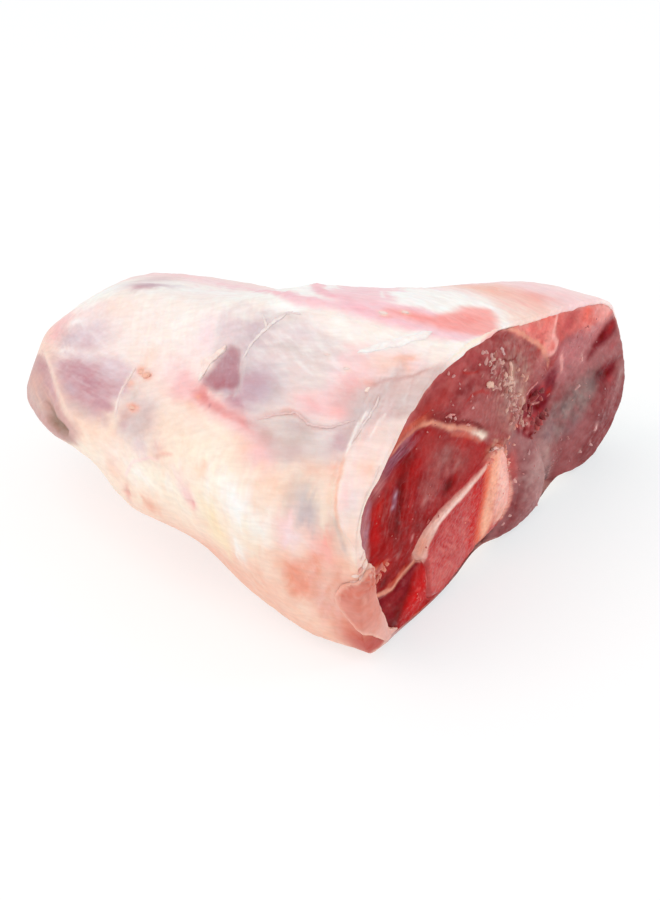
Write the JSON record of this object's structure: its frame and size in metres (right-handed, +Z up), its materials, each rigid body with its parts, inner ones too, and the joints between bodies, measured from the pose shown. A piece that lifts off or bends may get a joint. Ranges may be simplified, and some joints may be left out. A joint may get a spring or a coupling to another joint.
{
  "type": "raw leg of lamb",
  "caption": "Raw half leg of lamb lying on its side, pale fat and silverskin over the rounded meat, with a sawn end that shows red muscle and bone.",
  "frame": {"origin": "centre of the footprint box on the surface that the leg lies on", "axes": "+X along the leg, from the shank to the sawn end; +Y to the far side; +Z up"},
  "size_m": [0.1997, 0.1704, 0.1124],
  "materials": {
    "fat_and_muscle": "moist",
    "bone": "moist, porous"
  },
  "bodies": {
    "root": {"leg_meat": "fat_and_muscle", "leg_bone": "bone"}
  },
  "joints": []
}
